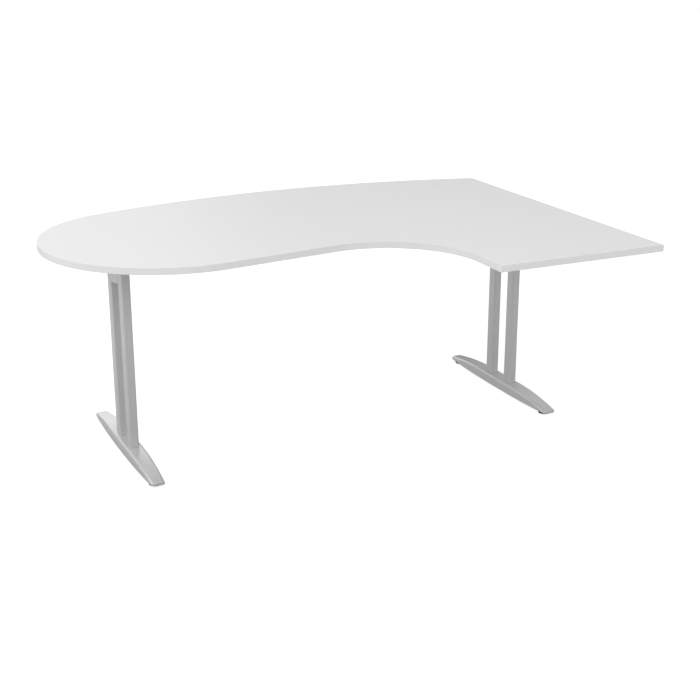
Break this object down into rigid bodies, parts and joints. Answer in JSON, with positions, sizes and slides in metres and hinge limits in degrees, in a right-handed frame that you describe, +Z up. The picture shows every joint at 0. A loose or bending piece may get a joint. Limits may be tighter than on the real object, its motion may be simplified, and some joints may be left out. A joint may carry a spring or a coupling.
{
  "type": "compact office desk",
  "caption": "Corner desk with a wave-fronted white top, a round left end and a bowed back, on two silver steel T-legs with levelling glides.",
  "frame": {"origin": "on the floor, under the middle of the top's bounding box", "axes": "+X to the sitter's right, along the longest side; +Y away from the sitter, towards the bowed back; +Z up"},
  "size_m": [1.8, 1.3154, 0.72],
  "materials": {
    "white_melamine": "22 mm chipboard faced with smooth matt white melamine",
    "white_edging": "2 mm white plastic edging, satin, with its outer edges rounded",
    "silver_powder_coat": "fine silver-grey powder coat, satin, on steel",
    "zinc_steel": "bright zinc plating",
    "brass_thread": "bare turned brass",
    "black_plastic": "moulded black plastic, matt"
  },
  "bodies": {
    "desk_frame": {"desktop_core": "white_melamine", "edge_band_right": "white_edging", "edge_band_front": "white_edging", "edge_band_wave": "white_edging", "edge_band_back": "white_edging", "support_arm_left": "silver_powder_coat", "support_arm_right": "silver_powder_coat", "upright_left_front": "silver_powder_coat", "upright_left_rear": "silver_powder_coat", "upright_right_front": "silver_powder_coat", "upright_right_rear": "silver_powder_coat", "upright_plug_left_front": "zinc_steel", "upright_plug_left_rear": "zinc_steel", "upright_plug_right_front": "zinc_steel", "upright_plug_right_rear": "zinc_steel", "head_block_left": "silver_powder_coat", "head_block_right": "silver_powder_coat", "foot_left": "silver_powder_coat", "foot_right": "silver_powder_coat", "foot_bolt_left_front": "zinc_steel", "foot_bolt_left_rear": "zinc_steel", "foot_bolt_right_front": "zinc_steel", "foot_bolt_right_rear": "zinc_steel", "rail_front": "silver_powder_coat", "rail_rear": "silver_powder_coat", "rail_plate_front_left": "silver_powder_coat", "rail_plate_front_right": "silver_powder_coat", "rail_plate_rear_left": "silver_powder_coat", "rail_plate_rear_right": "silver_powder_coat", "rail_bolt_front_left_1": "zinc_steel", "rail_bolt_front_left_2": "zinc_steel", "rail_bolt_front_right_1": "zinc_steel", "rail_bolt_front_right_2": "zinc_steel", "rail_bolt_rear_left_1": "zinc_steel", "rail_bolt_rear_left_2": "zinc_steel", "rail_bolt_rear_right_1": "zinc_steel", "rail_bolt_rear_right_2": "zinc_steel", "board_screw_left_1": "zinc_steel", "board_screw_left_2": "zinc_steel", "board_screw_left_3": "zinc_steel", "board_screw_left_4": "zinc_steel", "board_screw_right_1": "zinc_steel", "board_screw_right_2": "zinc_steel", "board_screw_right_3": "zinc_steel", "board_screw_right_4": "zinc_steel", "board_screw_right_5": "zinc_steel", "board_screw_right_6": "zinc_steel", "glide_insert_left_front": "brass_thread", "glide_insert_left_rear": "brass_thread", "glide_insert_right_front": "brass_thread", "glide_insert_right_rear": "brass_thread"},
    "pad_left_front": {"glide_pad_left_front": "black_plastic"},
    "pad_left_rear": {"glide_pad_left_rear": "black_plastic"},
    "pad_right_front": {"glide_pad_right_front": "black_plastic"},
    "pad_right_rear": {"glide_pad_right_rear": "black_plastic"},
    "stud_left_front": {"glide_stud_left_front": "zinc_steel"},
    "stud_left_rear": {"glide_stud_left_rear": "zinc_steel"},
    "stud_right_front": {"glide_stud_right_front": "zinc_steel"},
    "stud_right_rear": {"glide_stud_right_rear": "zinc_steel"}
  },
  "joints": [
    {"name": "glide_left_front_height", "type": "slide", "parent": "desk_frame", "child": "pad_left_front", "axis": [0, 0, -1], "range_m": [0, 0.008]},
    {"name": "glide_left_rear_height", "type": "slide", "parent": "desk_frame", "child": "pad_left_rear", "axis": [0, 0, -1], "range_m": [0, 0.008]},
    {"name": "glide_right_front_height", "type": "slide", "parent": "desk_frame", "child": "pad_right_front", "axis": [0, 0, -1], "range_m": [0, 0.008]},
    {"name": "glide_right_rear_height", "type": "slide", "parent": "desk_frame", "child": "pad_right_rear", "axis": [0, 0, -1], "range_m": [0, 0.008]},
    {"name": "stud_left_front_turn", "type": "hinge", "parent": "pad_left_front", "child": "stud_left_front", "pos_m": [-0.66, -0.18473, 0.01], "axis": [0, 0, -1], "continuous": true},
    {"name": "stud_left_rear_turn", "type": "hinge", "parent": "pad_left_rear", "child": "stud_left_rear", "pos_m": [-0.66, 0.41927, 0.01], "axis": [0, 0, -1], "continuous": true},
    {"name": "stud_right_front_turn", "type": "hinge", "parent": "pad_right_front", "child": "stud_right_front", "pos_m": [0.8, -0.18473, 0.01], "axis": [0, 0, -1], "continuous": true},
    {"name": "stud_right_rear_turn", "type": "hinge", "parent": "pad_right_rear", "child": "stud_right_rear", "pos_m": [0.8, 0.41927, 0.01], "axis": [0, 0, -1], "continuous": true}
  ],
  "couplings": [
    {"joint": "stud_left_front_turn", "follows": "glide_left_front_height", "rad_per_m": 5026.5},
    {"joint": "stud_left_rear_turn", "follows": "glide_left_rear_height", "rad_per_m": 5026.5},
    {"joint": "stud_right_front_turn", "follows": "glide_right_front_height", "rad_per_m": 5026.5},
    {"joint": "stud_right_rear_turn", "follows": "glide_right_rear_height", "rad_per_m": 5026.5}
  ]
}
